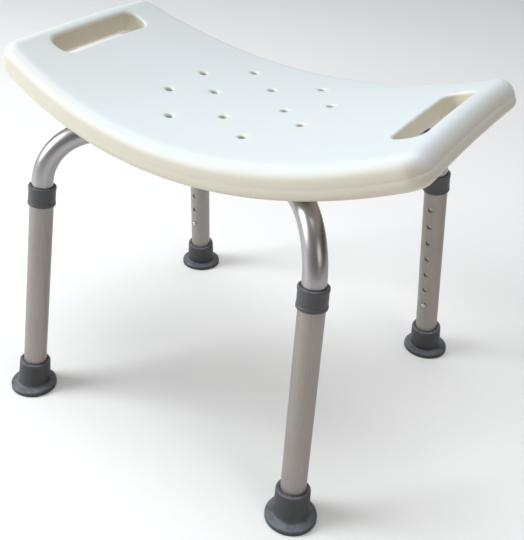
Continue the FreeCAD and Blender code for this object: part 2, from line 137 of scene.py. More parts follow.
class StoolFinishes(bpy.types.PropertyGroup):
    """The pieces' colours. The seat's two colours are painted light and painted shade on one
    plastic, and the dust colour also carries a painted sky reflection.
    """
    # Painted light and shade: one plastic, painted paler and cooler on top and darker and warmer on
    # its edges and slots.
    seat_top_painted_light: colour_property("Seat top", "Of the seat where it faces up", (0.76, 0.82, 0.84))
    seat_side_painted_shade: colour_property("Seat side", "Of the seat's edges and slots", (0.66, 0.61, 0.50))
    tube: colour_property("Bent tubes", "Bright anodised aluminium", (0.43, 0.41, 0.41))
    leg: colour_property("Outer legs", "Satin anodised aluminium", (0.36, 0.32, 0.29))
    collar: colour_property("Collar", "Of the four grey collars", (0.055, 0.055, 0.057))
    foot: colour_property("Foot", "Of the four rubber feet", (0.032, 0.031, 0.032))
    # Pale and bluish: partly fine dust, partly a painted sky reflection on faces that point up.
    dust: colour_property("Dust", "Of fine dust on rubber and plastic", (0.24, 0.27, 0.32))
    steel: colour_property("Steel", "Of buttons, bolts, washers and springs", (0.62, 0.61, 0.60))
    brass: colour_property("Brass", "Of the threaded inserts", (0.62, 0.44, 0.20))
    floor: colour_property("Floor", "Of the floor that the stool stands on", (0.95, 0.95, 0.95))


# --- Selecting and shaping -------------------------------
def object_mode():
    bpy.ops.object.mode_set(mode="OBJECT")


def edit_mode():
    bpy.ops.object.mode_set(mode="EDIT")


def clear_selection():
    if bpy.context.object and bpy.context.object.mode != "OBJECT":
        object_mode()
    bpy.ops.object.select_all(action="DESELECT")


def make_active(piece):
    clear_selection()
    piece.select_set(True)
    bpy.context.view_layer.objects.active = piece


def apply_placement():
    bpy.ops.object.transform_apply(location=True, rotation=True, scale=True)


def start_piece(name):
    """The object that the last operator added, with a name, in edit mode and all selected."""
    piece = bpy.context.object
    piece.name = name
    apply_placement()
    edit_mode()
    bpy.ops.mesh.select_all(action="SELECT")
    return piece


def pick(piece, kind, test):
    """Selects only the vertices, edges or faces that pass the test, in edit mode."""
    bpy.ops.mesh.select_mode(type=kind)
    bpy.ops.mesh.select_all(action="DESELECT")
    mesh = bmesh.from_edit_mesh(piece.data)
    parts = {"VERT": mesh.verts, "EDGE": mesh.edges, "FACE": mesh.faces}[kind]
    passing = [part for part in parts if test(part)]
    for part in passing:
        part.select_set(True)
    mesh.select_flush_mode()
    bmesh.update_edit_mesh(piece.data)
    if not passing:
        raise RuntimeError(f"nothing to select on {piece.name}")


def ends_pass(test):
    """A test of an edge that both its ends pass."""
    return lambda edge: all(test(end.co) for end in edge.verts)


def round_where(piece, test, *sizes, **settings):
    """Rounds the edges of a piece that pass a test."""
    pick(piece, "EDGE", test)
    round_edges(*sizes, **settings)


def upright(height):
    return lambda edge: abs(edge.verts[0].co.z - edge.verts[1].co.z) > height / 2


def round_edges(width, steps, fullness=0.5):
    """Rounds the selected edges, or slopes them where the fullness is lower."""
    bpy.ops.mesh.bevel(offset=width, offset_type="OFFSET", segments=steps, profile=fullness,
                       affect="EDGES", clamp_overlap=False)


def cut_plane(place, normal):
    """Cuts the whole mesh where it crosses a plane, and leaves both halves."""
    bpy.ops.mesh.select_all(action="SELECT")
    bpy.ops.mesh.bisect(plane_co=place, plane_no=normal, threshold=1e-6)


def apply_modifier(piece, kind, **settings):
    make_active(piece)
    modifier = piece.modifiers.new("shape", kind)
    for name, value in settings.items():
        setattr(modifier, name, value)
    bpy.ops.object.modifier_apply(modifier=modifier.name)


def cut_away(piece, cutters):
    """Takes the cutters' shapes out of a piece, and then removes the cutters."""
    for cutter in cutters:
        apply_modifier(piece, "BOOLEAN", operation="DIFFERENCE", solver="EXACT", object=cutter)
        bpy.data.objects.remove(cutter)


def push(piece, direction, distance, share_at):
    """Moves a piece's vertices along an axis, each by its own share of a distance."""
    group = piece.vertex_groups.new(name="share")
    for vertex in piece.data.vertices:
        share = share_at(vertex.co)
        if share > 0:
            group.add([vertex.index], min(share, 1.0), "REPLACE")
    apply_modifier(piece, "DISPLACE", direction=direction, strength=distance, mid_level=0.0,
                   vertex_group=group.name)
    piece.vertex_groups.clear()


def turned(name, rings, sides=96, end_caps=False):
    """A piece turned about the Z axis through rings of radius and height.

    Without end caps, its last ring meets its first and closes the shape.
    """
    radius, height = rings[0]
    bpy.ops.mesh.primitive_circle_add(vertices=sides, radius=radius, location=(0, 0, height))
    piece = start_piece(name)
    bpy.ops.mesh.select_mode(type="EDGE")
    for next_radius, next_height in rings[1:] + ([] if end_caps else rings[:1]):
        bpy.ops.mesh.extrude_region_move(
            TRANSFORM_OT_translate={"value": (0, 0, next_height - height)})
        share = next_radius / radius
        bpy.ops.transform.resize(value=(share, share, 1), center_override=(0, 0, 0))
        radius, height = next_radius, next_height
    if end_caps:
        bpy.ops.mesh.edge_face_add()
        first_height = rings[0][1]
        pick(piece, "EDGE", lambda edge: edge.is_boundary
             and abs(edge.verts[0].co.z - first_height) < 1e-6)
        bpy.ops.mesh.edge_face_add()
    tidy_mesh()
    return piece


def tidy_mesh():
    bpy.ops.mesh.select_all(action="SELECT")
    bpy.ops.mesh.remove_doubles(threshold=1e-6)
    bpy.ops.mesh.normals_make_consistent(inside=False)
    object_mode()


def drawn_tube(name, corners, bends, radius, wall, sides=64):
    """A tube drawn from a circle through the corners, spun round each bend."""
    along = corners[1] - corners[0]
    bpy.ops.mesh.primitive_circle_add(vertices=sides, radius=radius, location=corners[0],
                                      rotation=along.to_track_quat("Z", "Y").to_euler())
    piece = start_piece(name)
    bpy.ops.mesh.select_mode(type="EDGE")
    place = corners[0]
    for before, corner, after, bend in zip(corners, corners[1:], corners[2:], bends):
        back = (before - corner).normalized()
        ahead = (after - corner).normalized()
        half_turn = (math.pi - back.angle(ahead)) / 2
        reach = bend * math.tan(half_turn)
        middle = corner + (back + ahead).normalized() * (bend / math.cos(half_turn))
        draw_out(corner + back * reach - place)
        steps = max(6, round(math.degrees(half_turn)))
        bpy.ops.mesh.spin(steps=steps, angle=2 * half_turn, center=middle,
                          axis=back.cross(ahead).normalized())
        place = corner + ahead * reach
    draw_out(corners[-1] - place)
    tidy_mesh()
    apply_modifier(piece, "SOLIDIFY", thickness=wall, offset=-1.0)
    return piece


def draw_out(distance):
    bpy.ops.mesh.extrude_region_move(TRANSFORM_OT_translate={"value": distance})


def rod(name, start, end, radius, sides=32):
    """A round bar between two points, which only serves to cut a hole."""
    along = end - start
    bpy.ops.mesh.primitive_cylinder_add(vertices=sides, radius=radius, depth=along.length,
                                        location=(start + end) / 2,
                                        rotation=along.to_track_quat("Z", "Y").to_euler())
    piece = start_piece(name)
    object_mode()
    return piece


def placed_copy(piece, name, placement):
    """A copy with its own mesh, moved to its place."""
    make_active(piece)
    bpy.ops.object.duplicate(linked=False)
    copy = bpy.context.object
    copy.name = name
    copy.matrix_world = placement @ copy.matrix_world
    apply_placement()
    return copy


def dress(piece, body, material, nodes, smooth=30):
    """Gives a finished piece its finish and its body, and has it stand for its nodes."""
    make_active(piece)
    bpy.ops.object.shade_smooth_by_angle(angle=math.radians(smooth))
    piece.data.materials.clear()
    piece.data.materials.append(material)
    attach(piece, body)
    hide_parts(*nodes)


def dress_four(pattern, piece, body, material, node, placement):
    """Puts a copy of a pattern at each leg, and removes the pattern."""
    for corner, sides in CORNERS.items():
        copy = placed_copy(pattern, f"{corner}_{piece}", placement(*sides))
        dress(copy, f"{corner}_{body}", material, [f"{corner}_{node}"])
    bpy.data.objects.remove(pattern)


# --- Places ----------------------------------------------
def leg_axis(side_x, side_y):
    sizes = bpy.context.scene.stool_frame
    inwards = -side_x * math.tan(sizes.lean_x), -side_y * math.tan(sizes.lean_y), 1
    return Vector(inwards).normalized()


def foot_centre(side_x, side_y):
    sizes = bpy.context.scene.stool_frame
    return Vector((side_x * sizes.spread_x / 2, side_y * sizes.spread_y / 2, 0))


def leg_placement(side_x, side_y):
    """A leg's own frame: Z up the leg from the floor, and X to the stool's inside."""
    up_leg = leg_axis(side_x, side_y)
    inwards = Vector((0, -side_y, 0))
    inwards = (inwards - up_leg * inwards.dot(up_leg)).normalized()
    turn = Matrix((inwards, up_leg.cross(inwards), up_leg)).transposed()
    return Matrix.Translation(foot_centre(side_x, side_y)) @ turn.to_4x4()


def run_height():
    """Height of the tubes' middle line where they run level under the seat."""
    sizes = bpy.context.scene.stool_frame
    return bpy.context.scene.stool_seat.height - sizes.seat_over_tube - sizes.tube / 2


def knee_place(side_x, side_y):
    """Where a leg's line meets the level of the runs."""
    up_leg = leg_axis(side_x, side_y)
    return foot_centre(side_x, side_y) + up_leg * (run_height() / up_leg.z)


def run_direction(side_x, side_y):
    knee = knee_place(side_x, side_y)
    return Vector((knee.x, knee.y, 0)).normalized()


def collar_bottom():
    """Where the collars start, along the leg, a little below the bends."""
    sizes = bpy.context.scene.stool_frame
    up_leg = leg_axis(1, 1)
    turn = up_leg.angle(run_direction(1, 1) * -1)
    bend_start = run_height() / up_leg.z - sizes.bend_radius * math.tan(turn / 2)
    return bend_start - COLLAR_BELOW_BEND - COLLAR_HEIGHT


def leg_radius():
    sizes = bpy.context.scene.stool_frame
    return sizes.tube / 2 + sizes.slide_gap + sizes.wall


def bolt_places():
    distance = bpy.context.scene.stool_frame.bolt_distance
    return [run_direction(1, side) * (end * distance) for side in (1, -1) for end in (-1, 1)]


# --- Seat ------------------------------------------------
DRAIN_PLACES = ((47.7, 0.0), (0.0, 52.0), (87.5, 34.5), (47.7, 88.0))


def flat_place(x, depth):
    """Where a place in the curved seat lies along the seat while it is still flat."""
    dip = bpy.context.scene.stool_seat.dip_radius
    return dip * math.asin(x / (dip + depth))


def cut_upright(x):
    """Cuts across the flat seat so that the cut stands upright once the seat is curved."""
    thickness = bpy.context.scene.stool_seat.thickness
    top, bottom = flat_place(x, 0), flat_place(x, thickness)
    cut_plane((top, 0, 0), Vector((thickness, 0, bottom - top)).normalized())


def stand_upright(cutter, x, half_width):
    """Slants a cutter's two ends so that its walls stand upright once the seat is curved."""
    low_end = bpy.context.scene.stool_seat.thickness + CUT_REACH
    for height, depth in ((CUT_REACH, -CUT_REACH), (-low_end, low_end)):
        low, high = flat_place(x - half_width, depth), flat_place(x + half_width, depth)
        pick(cutter, "VERT", lambda vertex: abs(vertex.co.z - height) < 1e-5)
        share = (high - low) / (2 * half_width)
        bpy.ops.transform.resize(value=(share, 1, 1), center_override=(x, 0, height))
        bpy.ops.transform.translate(value=((low + high) / 2 - x, 0, 0))
    object_mode()


def slot_cutter(side):
    sizes = bpy.context.scene.stool_seat
    middle = side * (sizes.length / 2 - sizes.grip_width - sizes.slot_width / 2)
    depth = sizes.thickness + 2 * CUT_REACH
    bpy.ops.mesh.primitive_cube_add(size=1, location=(middle, 0, -sizes.thickness / 2),
                                    scale=(sizes.slot_width, sizes.slot_length, depth))
    cutter = start_piece("slot_cutter")
    round_where(cutter, upright(depth), sizes.slot_corner, 8)
    stand_upright(cutter, middle, sizes.slot_width / 2)
    return cutter


def drain_cutter(x, y):
    sizes = bpy.context.scene.stool_seat
    cutter = rod("drain_cutter", Vector((x, y, -sizes.thickness - CUT_REACH)),
                 Vector((x, y, CUT_REACH)), sizes.drain / 2, 40)
    edit_mode()
    stand_upright(cutter, x, sizes.drain / 2)
    return cutter


def drain_places():
    return sorted({(side_x * x * MM + 0.0, side_y * y * MM + 0.0)
                   for x, y in DRAIN_PLACES for side_x in (-1, 1) for side_y in (-1, 1)})


def groove_cutter(run):
    """The space for a tube under the seat, open downwards."""
    sizes = bpy.context.scene.stool_frame
    radius = sizes.tube / 2 + 0.2 * MM
    reach = 200 * MM
    level = Vector((0, 0, run_height()))
    cutter = rod("groove_cutter", level - run * reach, level + run * reach, radius, 64)
    edit_mode()
    pick(cutter, "VERT", lambda vertex: vertex.co.z < level.z - 1e-5)
    bpy.ops.transform.resize(value=(1, 1, 0), center_override=level)
    pick(cutter, "FACE", lambda face: face.calc_center_median().z < level.z + 1e-5
         and face.normal.z < -0.9)
    draw_out(Vector((0, 0, -60 * MM)))
    tidy_mesh()
    return cutter


def seat_blank():
    """The flat seat, with its corners and edges rounded and its parting line."""
    sizes = bpy.context.scene.stool_seat
    thickness = sizes.thickness
    flat_length = 2 * flat_place(sizes.length / 2, 0)
    bpy.ops.mesh.primitive_cube_add(size=1, location=(0, 0, -thickness / 2),
                                    scale=(flat_length, sizes.end_width, thickness))
    seat = start_piece("moulded_seat")
    round_where(seat, upright(thickness), sizes.corner_radius, 14)
    round_where(seat, ends_pass(lambda place: place.z > -1e-6), sizes.top_round, 12)
    round_where(seat, ends_pass(lambda place: place.z < 1e-6 - thickness), sizes.bottom_round, 9)
    seam = -(sizes.top_round + thickness - sizes.bottom_round) / 2
    cut_plane((0, 0, seam), (0, 0, 1))
    round_where(seat, ends_pass(lambda place: abs(place.z - seam) < 1e-5), sizes.seam_width / 2, 2)
    pick(seat, "VERT", lambda vertex: abs(vertex.co.z - seam) < 1e-5)
    bpy.ops.transform.shrink_fatten(value=-sizes.seam_depth)
    return seat


def open_seat(seat):
    """The hand slots and the drain holes, with their edges rounded."""
    sizes = bpy.context.scene.stool_seat
    thickness = sizes.thickness
    slot_middle = sizes.length / 2 - sizes.grip_width - sizes.slot_width / 2
    for x in sorted({abs(place[0]) for place in drain_places()} | {slot_middle}):
        for side in (-1, 1):
            cut_upright(side * x)
    for y in sorted({place[1] for place in drain_places()}):
        cut_plane((0, y, 0), (0, 1, 0))
    object_mode()
    cutters = [slot_cutter(side) for side in (-1, 1)]
    cutters += [drain_cutter(x, y) for x, y in drain_places()]
    cut_away(seat, cutters)
    make_active(seat)
    edit_mode()
    bpy.ops.mesh.select_all(action="SELECT")
    bpy.ops.mesh.remove_doubles(threshold=1e-6)

    def rim(level, low, high):
        """Edges of the openings at a level, between two distances from the middle."""
        def on_rim(edge):
            if not all(abs(end.co.z - level) < 1e-5 for end in edge.verts):
                return False
            slopes = sorted(abs(face.normal.z) for face in edge.link_faces)
            middle = (edge.verts[0].co + edge.verts[1].co) / 2
            inside = abs(middle.y) < sizes.end_width / 2 - sizes.top_round - 2 * MM
            return (len(slopes) == 2 and slopes[0] < 0.6 and slopes[1] > 0.95
                    and inside and low < abs(middle.x) < high)
        return on_rim

    split = 130 * MM
    end = sizes.length / 2
    round_where(seat, rim(0, split, end - 2 * MM), sizes.slot_round, 6)
    round_where(seat, rim(-thickness, split, end - 5 * MM), sizes.slot_relief, 6, fullness=0.3)
    round_where(seat, rim(0, -1, split), sizes.drain_round, 5)
    round_where(seat, rim(-thickness, -1, split), sizes.drain_round / 3, 2)


def curve_seat(seat):
    """Cuts the flat seat fine enough to curve, bows its long sides, and crowns and dips it."""
    sizes = bpy.context.scene.stool_seat
    half_length = flat_place(sizes.length / 2, 0)
    steps = 62
    for step in range(1, steps):
        cut_plane((half_length * (2 * step / steps - 1), 0, 0), (1, 0, 0))
    steps = 22
    for step in range(1, steps):
        cut_plane((0, sizes.end_width / 2 * (2 * step / steps - 1), 0), (0, 1, 0))
    tidy_mesh()

    rise = (sizes.width - sizes.end_width) / 2
    bow_radius = ((sizes.length / 2) ** 2 + rise ** 2) / (2 * rise)

    def bow_share(place):
        x = (sizes.dip_radius - place.z) * math.sin(place.x / sizes.dip_radius)
        return (math.sqrt(bow_radius ** 2 - x ** 2) - bow_radius + rise) / rise

    bow_start = 100 * MM
    push(seat, "Y", rise, lambda place: bow_share(place) if place.y > bow_start else 0)
    push(seat, "Y", -rise, lambda place: bow_share(place) if place.y < -bow_start else 0)

    def crown_drop(y):
        return sizes.crown_radius - math.sqrt(sizes.crown_radius ** 2 - y ** 2)

    edge_drop = crown_drop(sizes.width / 2)
    push(seat, "Z", -edge_drop, lambda place: crown_drop(place.y) / edge_drop)
    bpy.ops.object.empty_add(rotation=(math.radians(90), 0, 0))
    bend_line = bpy.context.object
    apply_modifier(seat, "SIMPLE_DEFORM", deform_method="BEND", deform_axis="Z", origin=bend_line,
                   angle=2 * half_length / sizes.dip_radius)
    bpy.data.objects.remove(bend_line)
    seat.location.z = sizes.height
    make_active(seat)
    apply_placement()


class STOOL_OT_seat(bpy.types.Operator):
    """Moulds the curved seat with its hand slots, drain holes and grooves"""
    bl_idname = "stool.seat"
    bl_label = "Seat"

    def execute(self, context):
        clear_selection()
        seat = seat_blank()
        open_seat(seat)
        curve_seat(seat)
        cutters = [groove_cutter(run_direction(1, side)) for side in (1, -1)]
        frame_sizes = context.scene.stool_frame
        roof = run_height() + frame_sizes.tube / 2
        for place in [Vector((0, 0, 0))] + bolt_places():
            low, high = place.copy(), place.copy()
            low.z, high.z = roof - 5 * MM, roof + INSERT_DEPTH
            cutters.append(rod("insert_cutter", low, high, INSERT_RADIUS))
        cut_away(seat, cutters)
        make_active(seat)
        edit_mode()
        tidy_mesh()
        dress(seat, "seat_frame", seat_material(), ["seat"], smooth=32)
        return {"FINISHED"}


# --- Tubes -----------------------------------------------
def frame_path(side_x, side_y, dips):
    """A frame tube's corners and bends, from one leg to the opposite leg."""
    sizes = bpy.context.scene.stool_frame
    near, far = knee_place(-side_x, -side_y), knee_place(side_x, side_y)
    towards = run_direction(side_x, side_y)
    corners = [foot_centre(-side_x, -side_y) + leg_axis(-side_x, -side_y) * TUBE_END, near]
    bends = [sizes.bend_radius]
    if dips:
        drop = sizes.tube + CROSSING_GAP
        slope_length = drop / math.tan(CROSSING_SLOPE)
        flat = 20 * MM
        for along, height in ((-flat - slope_length, 0), (-flat, -drop), (flat, -drop),
                              (flat + slope_length, 0)):
            corners.append(towards * along + Vector((0, 0, run_height() + height)))
            bends.append(50 * MM)
    corners += [far, foot_centre(side_x, side_y) + leg_axis(side_x, side_y) * TUBE_END]
    bends.append(sizes.bend_radius)
    return corners, bends


def button_hole_cutter(height, placement=Matrix()):
    """A bar through the inner side of a leg's tubes."""
    sizes = bpy.context.scene.stool_frame
    start = placement @ Vector((2 * MM, 0, height))
    end = placement @ Vector((leg_radius() + 5 * MM, 0, height))
    return rod("hole_cutter", start, end, sizes.button / 2 + 0.3 * MM, 40)


class STOOL_OT_frame_tubes(bpy.types.Operator):
    """Draws the two crossed tubes that carry the seat and reach down into the legs"""
    bl_idname = "stool.frame_tubes"
    bl_label = "Frame Tubes"

    def execute(self, context):
        sizes = context.scene.stool_frame
        for name, node, side_y, dips in (("upper_bent_tube", "upper_frame_tube", 1, False),
                                         ("lower_bent_tube", "lower_frame_tube", -1, True)):
            clear_selection()
            corners, bends = frame_path(1, side_y, dips)
            tube = drawn_tube(name, corners, bends, sizes.tube / 2, sizes.wall)
            cutters = [button_hole_cutter(sizes.lowest_hole, leg_placement(side, side * side_y))
                       for side in (-1, 1)]
            for along in (-sizes.bolt_distance, 0, sizes.bolt_distance):
                low = run_direction(1, side_y) * along
                high = low.copy()
                low.z, high.z = run_height() - 60 * MM, run_height() + 14 * MM
                cutters.append(rod("bolt_hole_cutter", low, high, BOLT_HOLE_RADIUS))
            cut_away(tube, cutters)
            dress(tube, "seat_frame", tube_material(), [node])
        return {"FINISHED"}


class STOOL_OT_leg_tubes(bpy.types.Operator):
    """Makes the four outer leg tubes with their rows of height holes"""
    bl_idname = "stool.leg_tubes"
    bl_label = "Leg Tubes"

    def execute(self, context):
        clear_selection()
        sizes = context.scene.stool_frame
        outer, inner = leg_radius(), leg_radius() - sizes.wall
        bottom, top = LEG_START, collar_bottom() + LEG_INTO_COLLAR
        soft = SOFT_EDGE
        tube = turned("leg_pattern", [
            (inner + soft, bottom), (outer - soft, bottom), (outer, bottom + soft),
            (outer, top - soft), (outer - soft, top), (inner + soft, top),
            (inner, top - soft), (inner, bottom + soft)])
        holes = int((collar_bottom() - sizes.lowest_hole - 20 * MM) / sizes.hole_pitch) + 1
        cut_away(tube, [button_hole_cutter(sizes.lowest_hole + step * sizes.hole_pitch)
                        for step in range(holes)])
        dress_four(tube, "outer_leg", "leg", leg_material(), "leg_tube",
                   leg_placement)
        return {"FINISHED"}


class STOOL_OT_collars(bpy.types.Operator):
    """Turns the four grey collars that guide the tubes at the top of the legs"""
    bl_idname = "stool.collars"
    bl_label = "Collars"

    def execute(self, context):
        clear_selection()
        sizes = context.scene.stool_frame
        outer = leg_radius() + 2.3 * MM
        leg, slide = leg_radius() + 0.02 * MM, leg_radius() - sizes.wall
        start = collar_bottom()
        rings = [
            (leg, 0.4), (leg + 0.4 * MM, 0.0), (outer - 0.9 * MM, 0.0), (outer - 0.3 * MM, 0.3),
            (outer, 1.0), (outer, 3.4), (outer - 0.15 * MM, 3.9), (outer - 0.45 * MM, 4.2),
            (outer - 0.45 * MM, 19.4), (outer - 0.15 * MM, 19.7), (outer, 20.2), (outer, 22.4),
            (outer - 0.25 * MM, 23.3), (outer - 1.0 * MM, 23.9), (outer - 1.7 * MM, 24.0),
            (slide + 0.7 * MM, 24.0), (slide + 0.15 * MM, 23.7), (slide + 0.02 * MM, 23.0),
            (slide + 0.02 * MM, 15.8), (leg, 15.8)]
        collar = turned("collar_pattern",
                        [(radius, start + height * MM) for radius, height in rings])
        dress_four(collar, "grey_collar", "leg", collar_material(), "collar",
                   leg_placement)
        return {"FINISHED"}


def lean_ring(foot, radius, height, angle):
    """Turns one ring of a foot, given in millimetres, so that the cup leans with the leg."""
    pick(foot, "VERT", lambda vertex: abs(vertex.co.z - height * MM) < 2e-6
         and abs(math.hypot(vertex.co.x, vertex.co.y) - radius * MM) < 2e-6)
    bpy.ops.transform.rotate(value=-angle, orient_axis="Y", center_override=(0, 0, 0))


def foot_placement(side_x, side_y):
    """A foot's own frame: on the floor, turned so that its cup leans the way the leg does."""
    heading = leg_axis(side_x, side_y)
    turn = Matrix.Rotation(math.atan2(heading.y, heading.x), 4, "Z")
    return Matrix.Translation(foot_centre(side_x, side_y)) @ turn


class STOOL_OT_feet(bpy.types.Operator):
    """Moulds the four rubber feet with their flared flanges and ringed treads"""
    bl_idname = "stool.feet"
    bl_label = "Feet"

    def execute(self, context):
        clear_selection()
        sizes = context.scene.stool_frame
        cup = leg_radius() / MM + 4.9
        rim = sizes.flange / 2 / MM
        top = sizes.foot_height / MM
        bore = leg_radius() / MM + 0.02
        under = [(4.0, 0.0)]
        for radius in (10.0, 17.0, 24.0):
            under += [(radius - 1.25, 0.0), (radius - 1.1, 1.5), (radius + 1.1, 1.5),
                      (radius + 1.25, 0.0)]
        outside = [
            (rim - 1.2, 0.0), (rim - 0.35, 0.3), (rim, 1.1), (rim, 4.2), (rim - 0.25, 5.2),
            (rim - 0.9, 6.0), (rim - 1.9, 6.5), (rim - 3.2, 6.9), (rim - 4.6, 7.3),
            (rim - 6.0, 7.7), (cup + 2.7, 8.1), (cup + 1.9, 8.6), (cup + 1.4, 9.4),
            (cup + 1.15, 10.8), (cup + 1.0, 14.0), (cup + 0.8, 20.0), (cup + 0.5, 28.0),
            (cup + 0.3, top - 3.0), (cup + 0.2, top - 1.6), (cup - 0.15, top - 0.7),
            (cup - 0.8, top - 0.15), (cup - 1.6, top)]
        inside = [(bore + 1.1, top), (bore + 0.4, top - 0.3), (bore, top - 1.0), (bore, 7.5),
                  (4.0, 7.5)]
        rings = under + outside + inside
        foot = turned("foot_pattern", [(radius * MM, height * MM) for radius, height in rings],
                      sides=96, end_caps=True)
        lean = math.atan(math.hypot(math.tan(sizes.lean_x), math.tan(sizes.lean_y)))
        edit_mode()
        for radius, height in outside[8:]:
            lean_ring(foot, radius, height, lean * min(1.0, max(0.0, height - 6.0) / 8.0))
        for radius, height in inside:
            lean_ring(foot, radius, height, lean)
        object_mode()
        dress_four(foot, "rubber_foot", "leg", foot_material(), "foot",
                   foot_placement)
        return {"FINISHED"}


class STOOL_OT_buttons(bpy.types.Operator):
    """Turns the four domed snap buttons that hold the legs at their height"""
    bl_idname = "stool.buttons"
    bl_label = "Snap Buttons"

    def execute(self, context):
        clear_selection()
        sizes = context.scene.stool_frame
        inner_wall = (sizes.tube / 2 - sizes.wall) / MM
        flange_end = inner_wall - 1.4
        tip = (leg_radius() + sizes.button_standout) / MM
        pin = sizes.button / 2 / MM
        dome = 2.2
        rings = [(4.2, flange_end - 1.2), (4.4, flange_end - 1.0), (4.4, flange_end - 0.2),
                 (4.2, flange_end), (pin, flange_end), (pin, tip - dome)]
        for degrees in (15, 30, 45, 60, 75, 90):
            angle = math.radians(degrees)
            rings.append((pin - dome + dome * math.cos(angle), tip - dome + dome * math.sin(angle)))
        button = turned("button_pattern", [(radius * MM, along * MM) for radius, along in rings],
                        sides=48, end_caps=True)
        sideways = Matrix.Translation((0, 0, sizes.lowest_hole)) @ Matrix.Rotation(
            math.radians(90), 4, "Y")
        dress_four(button, "domed_button", "button", steel_material(), "snap_button",
                   lambda *sides: leg_placement(*sides) @ sideways)
        return {"FINISHED"}


# --- Fasteners -------------------------------------------
def hexagon_bolt(name, place, level):
    """A bolt up through a tube at the given level, with its chamfered head underneath."""
    sizes = bpy.context.scene.stool_frame
    face = level - sizes.tube / 2 - WASHER
    tip = run_height() + sizes.tube / 2 + BOLT_IN_SEAT
    corner = BOLT_HALF_FLATS / math.cos(math.radians(30))
    bpy.ops.mesh.primitive_cylinder_add(vertices=6, radius=corner, depth=3.6 * MM,
                                        location=(place.x, place.y, face - 2.2 * MM),
                                        rotation=(0, 0, math.radians(30)))
    bolt = start_piece(name)
    pick(bolt, "FACE", lambda cap: cap.normal.z < -0.9)
    bpy.ops.mesh.inset(thickness=0.7 * MM)
    draw_out(Vector((0, 0, -0.25 * MM)))
    pick(bolt, "EDGE", lambda edge: all(abs(end.co.z - face + 4.0 * MM) < 1e-5
                                        for end in edge.verts))
    round_edges(SOFT_EDGE, 2)
    object_mode()
    make_active(bolt)
    shank = turned("shank", [(BOLT_RADIUS, face - 1.5 * MM), (BOLT_RADIUS, tip - 0.8 * MM),
                             (2.3 * MM, tip)], sides=32, end_caps=True)
    collar = turned("washer_face", [(3.2 * MM, face - 1.5 * MM), (4.6 * MM, face - 0.45 * MM),
                                    (4.6 * MM, face), (3.2 * MM, face)], sides=32, end_caps=True)
    for part in (shank, collar):
        part.location = (place.x, place.y, 0)
    make_active(bolt)
    shank.select_set(True)
    collar.select_set(True)
    bpy.ops.object.join()
    apply_placement()
    return bolt


class STOOL_OT_fasteners(bpy.types.Operator):
    """Makes the hexagon bolts that hold the seat on the tubes"""
    bl_idname = "stool.fasteners"
    bl_label = "Seat Bolts"

    def execute(self, context):
        clear_selection()
        sizes = context.scene.stool_frame
        bolts = [hexagon_bolt("four_seat_bolts", place, run_height()) for place in bolt_places()]
        make_active(bolts[0])
        for bolt in bolts:
            bolt.select_set(True)
        bpy.ops.object.join()
        middle = hexagon_bolt("middle_seat_bolt", Vector((0, 0, 0)),
                              run_height() - sizes.tube - CROSSING_GAP)
        dress(bolts[0], "seat_frame", steel_material(), ["seat_bolts"])
        dress(middle, "seat_frame", steel_material(), ["middle_bolt"])
        return {"FINISHED"}


class STOOL_OT_inner_metal(bpy.types.Operator):
    """Finishes the washers, springs and threaded inserts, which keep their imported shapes"""
    bl_idname = "stool.inner_metal"
    bl_label = "Washers, Springs and Inserts"

    def execute(self, context):
        finishes = {"insert": brass_material(), "washer": steel_material(),
                    "spring": steel_material()}
        for name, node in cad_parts.items():
            for ending, material in finishes.items():
                if ending in name:
                    node.data.materials.clear()
                    node.data.materials.append(material)
        return {"FINISHED"}


# --- Finishes --------------------------------------------
def remap(tree, value, from_low, from_high, low=0.0, high=1.0):
    """A number carried from one range to another, and held inside it."""
    return add_node(tree, "ShaderNodeMapRange", {
        "Value": value, "From Min": from_low, "From Max": from_high, "To Min": low,
        "To Max": high}, clamp=True).outputs["Result"]


def facing_up(tree, low, high):
    """A mask that rises as the surface turns to face up, between two heights of its normal."""
    slope = add_node(tree, "ShaderNodeSeparateXYZ", {
        "Vector": add_node(tree, "ShaderNodeNewGeometry").outputs["Normal"]})
    return remap(tree, slope.outputs["Z"], low, high)


def noise(tree, place, scale, detail, roughness):
    return add_node(tree, "ShaderNodeTexNoise", {
        "Vector": place, "Scale": scale, "Detail": detail, "Roughness": roughness}).outputs["Fac"]


def multiply(tree, first, second):
    node = add_node(tree, "ShaderNodeMath", operation="MULTIPLY")
    tree.links.new(first, node.inputs[0])
    tree.links.new(second, node.inputs[1])
    return node.outputs[0]


def add_node(tree, kind, inputs=None, **settings):
    """A node with its settings, and its inputs linked or set by name."""
    node = tree.nodes.new(kind)
    for name, value in settings.items():
        setattr(node, name, value)
    for name, value in (inputs or {}).items():
        if isinstance(value, bpy.types.NodeSocket):
            tree.links.new(value, node.inputs[name])
        else:
            node.inputs[name].default_value = value
    return node


def mix_colours(tree, share, low, high):
    """A colour between two others, each a colour or a socket."""
    node = tree.nodes.new("ShaderNodeMix")
    node.data_type = "RGBA"
    for socket, value in zip((node.inputs[0], node.inputs[6], node.inputs[7]), (share, low, high)):
        if isinstance(value, bpy.types.NodeSocket):
            tree.links.new(value, socket)
        elif isinstance(value, float):
            socket.default_value = value
        else:
            socket.default_value = (*value, 1.0)
    return node.outputs[2]


def new_group(name, inputs, outputs):
    """A shader node group with number inputs and outputs, and its two end nodes."""
    tree = bpy.data.node_groups.new(name, "ShaderNodeTree")
    for socket, default in inputs:
        tree.interface.new_socket(socket, in_out="INPUT",
                                  socket_type="NodeSocketFloat").default_value = default
    for socket in outputs:
        tree.interface.new_socket(socket, in_out="OUTPUT", socket_type="NodeSocketFloat")
    return tree, tree.nodes.new("NodeGroupInput"), tree.nodes.new("NodeGroupOutput")


